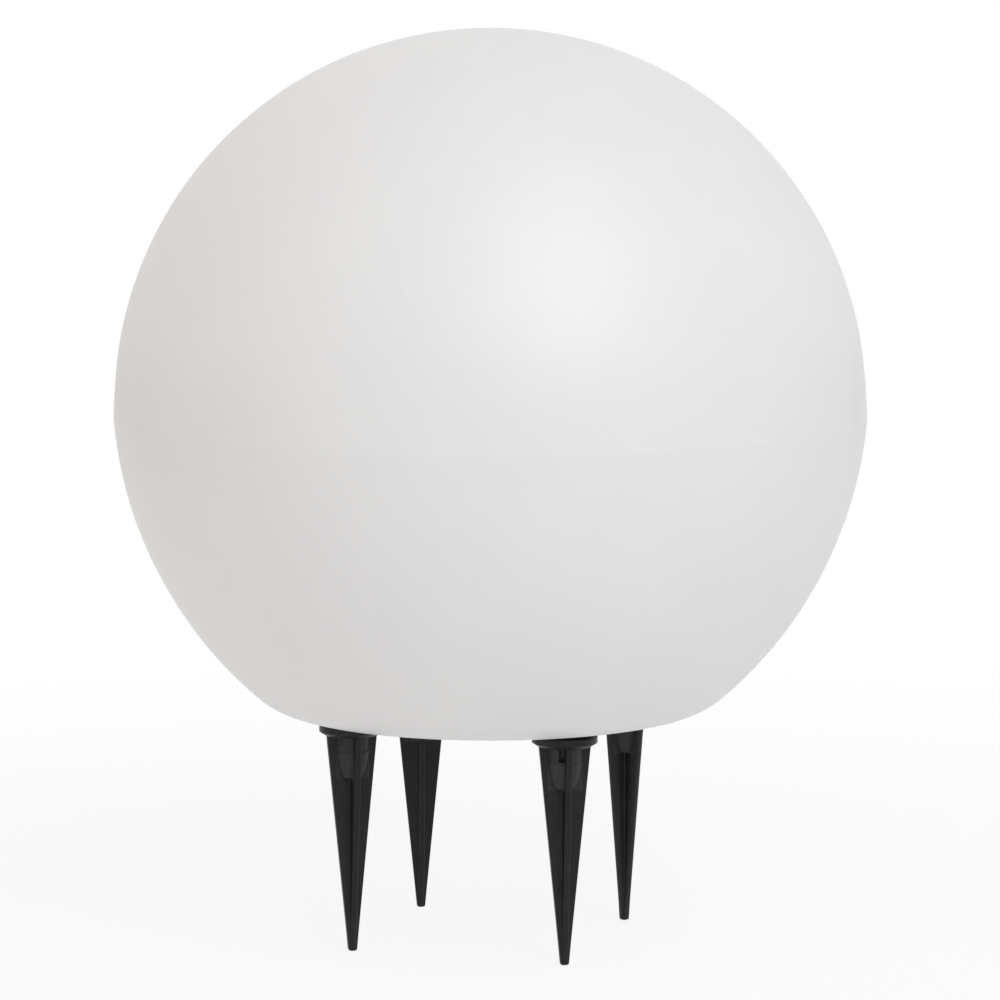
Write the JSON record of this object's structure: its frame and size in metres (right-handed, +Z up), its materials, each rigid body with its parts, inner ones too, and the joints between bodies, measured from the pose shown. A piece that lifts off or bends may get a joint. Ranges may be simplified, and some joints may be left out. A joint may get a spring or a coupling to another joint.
{
  "type": "garden globe light",
  "caption": "White moulded ball light with a flat base on ground spikes; bulb and holder drop out of the base.",
  "frame": {"origin": "on the ground plane through the spike tips, under the centre of the ball", "axes": "+Z up along the axis of the ball, +X right, -Y front; the cable groove leaves towards +Y"},
  "size_m": [0.502, 0.5018, 0.6111],
  "materials": {
    "ball_polyethylene": "satin moulded, translucent white",
    "brass": "machined",
    "cover_plastic": "fine satin",
    "seal_rubber": "matt",
    "screw_steel": "stainless",
    "gland_plastic": "satin",
    "terminal_plastic": "satin",
    "stirrup_steel": "zinc plated",
    "lead_brown": "smooth insulation",
    "lead_blue": "smooth insulation",
    "holder_plastic": "moulded, polished",
    "holder_ceramic": "unglazed",
    "cap_nickel": "nickel plated",
    "cap_glass": "fused",
    "bulb_plastic": "moulded",
    "bulb_opal": "opal",
    "board_white": "solder mask",
    "led_phosphor": "cast",
    "board_green": "solder mask",
    "spike_plastic": "satin moulded"
  },
  "bodies": {
    "globe": {"globe_shell": "ball_polyethylene", "spike_inserts": "brass", "cover_inserts": "brass"},
    "washer_front_left": {"spike_washer_front_left": "seal_rubber"},
    "spike_front_left": {"spike_front_left": "spike_plastic", "spike_bolt_front_left": "screw_steel"},
    "washer_front_right": {"spike_washer_front_right": "seal_rubber"},
    "spike_front_right": {"spike_front_right": "spike_plastic", "spike_bolt_front_right": "screw_steel"},
    "washer_rear_left": {"spike_washer_rear_left": "seal_rubber"},
    "spike_rear_left": {"spike_rear_left": "spike_plastic", "spike_bolt_rear_left": "screw_steel"},
    "washer_rear_right": {"spike_washer_rear_right": "seal_rubber"},
    "spike_rear_right": {"spike_rear_right": "spike_plastic", "spike_bolt_rear_right": "screw_steel"},
    "lamp_unit": {"base_cover": "cover_plastic", "cover_seal": "seal_rubber", "cover_screws": "screw_steel", "gland_washer": "seal_rubber", "gland_body": "gland_plastic", "gland_locknut": "gland_plastic", "gland_seal": "seal_rubber", "gland_nut": "gland_plastic", "terminal_block": "terminal_plastic", "terminal_tubes": "brass", "terminal_screws": "screw_steel", "terminal_fixing_screw": "screw_steel", "holder_stirrup": "stirrup_steel", "stirrup_screws": "screw_steel", "nipple": "stirrup_steel", "nipple_nut": "stirrup_steel", "lead_live": "lead_brown", "lead_neutral": "lead_blue", "holder_base": "holder_plastic", "holder_insert": "holder_ceramic", "holder_screw_shell": "brass", "holder_side_contact": "brass", "holder_centre_contact": "brass", "holder_skirt": "holder_plastic"},
    "bulb_glass": {"bulb_diffuser": "bulb_opal"},
    "bulb": {"bulb_contact": "cap_nickel", "bulb_insulator": "cap_glass", "bulb_cap": "cap_nickel", "bulb_housing": "bulb_plastic", "led_board": "board_white", "leds": "led_phosphor", "driver_board": "board_green"}
  },
  "joints": [
    {"name": "spike_travel_front_left", "type": "slide", "parent": "globe", "child": "washer_front_left", "axis": [0, 0, -1], "range_m": [0, 0.01251]},
    {"name": "spike_turn_front_left", "type": "hinge", "parent": "washer_front_left", "child": "spike_front_left", "pos_m": [-0.07354, -0.07354, 0.15], "axis": [0, 0, -1], "range_deg": [0, 3600]},
    {"name": "spike_travel_front_right", "type": "slide", "parent": "globe", "child": "washer_front_right", "axis": [0, 0, -1], "range_m": [0, 0.01251]},
    {"name": "spike_turn_front_right", "type": "hinge", "parent": "washer_front_right", "child": "spike_front_right", "pos_m": [0.07354, -0.07354, 0.15], "axis": [0, 0, -1], "range_deg": [0, 3600]},
    {"name": "spike_travel_rear_left", "type": "slide", "parent": "globe", "child": "washer_rear_left", "axis": [0, 0, -1], "range_m": [0, 0.01251]},
    {"name": "spike_turn_rear_left", "type": "hinge", "parent": "washer_rear_left", "child": "spike_rear_left", "pos_m": [-0.07354, 0.07354, 0.15], "axis": [0, 0, -1], "range_deg": [0, 3600]},
    {"name": "spike_travel_rear_right", "type": "slide", "parent": "globe", "child": "washer_rear_right", "axis": [0, 0, -1], "range_m": [0, 0.01251]},
    {"name": "spike_turn_rear_right", "type": "hinge", "parent": "washer_rear_right", "child": "spike_rear_right", "pos_m": [0.07354, 0.07354, 0.15], "axis": [0, 0, -1], "range_deg": [0, 3600]},
    {"name": "lamp_drop", "type": "slide", "parent": "globe", "child": "lamp_unit", "axis": [0, 0, -1], "range_m": [0, 0.175]},
    {"name": "bulb_travel", "type": "slide", "parent": "lamp_unit", "child": "bulb_glass", "axis": [0, 0, 1], "range_m": [0, 0.02178]},
    {"name": "bulb_turn", "type": "hinge", "parent": "bulb_glass", "child": "bulb", "pos_m": [0, 0, 0.3], "axis": [0, 0, 1], "range_deg": [0, 2160]}
  ],
  "couplings": [
    {"joint": "spike_travel_front_left", "follows": "spike_turn_front_left", "m_per_rad": 0.00019894},
    {"joint": "spike_travel_front_right", "follows": "spike_turn_front_right", "m_per_rad": 0.00019894},
    {"joint": "spike_travel_rear_left", "follows": "spike_turn_rear_left", "m_per_rad": 0.00019894},
    {"joint": "spike_travel_rear_right", "follows": "spike_turn_rear_right", "m_per_rad": 0.00019894},
    {"joint": "bulb_travel", "follows": "bulb_turn", "m_per_rad": 0.00057751}
  ]
}
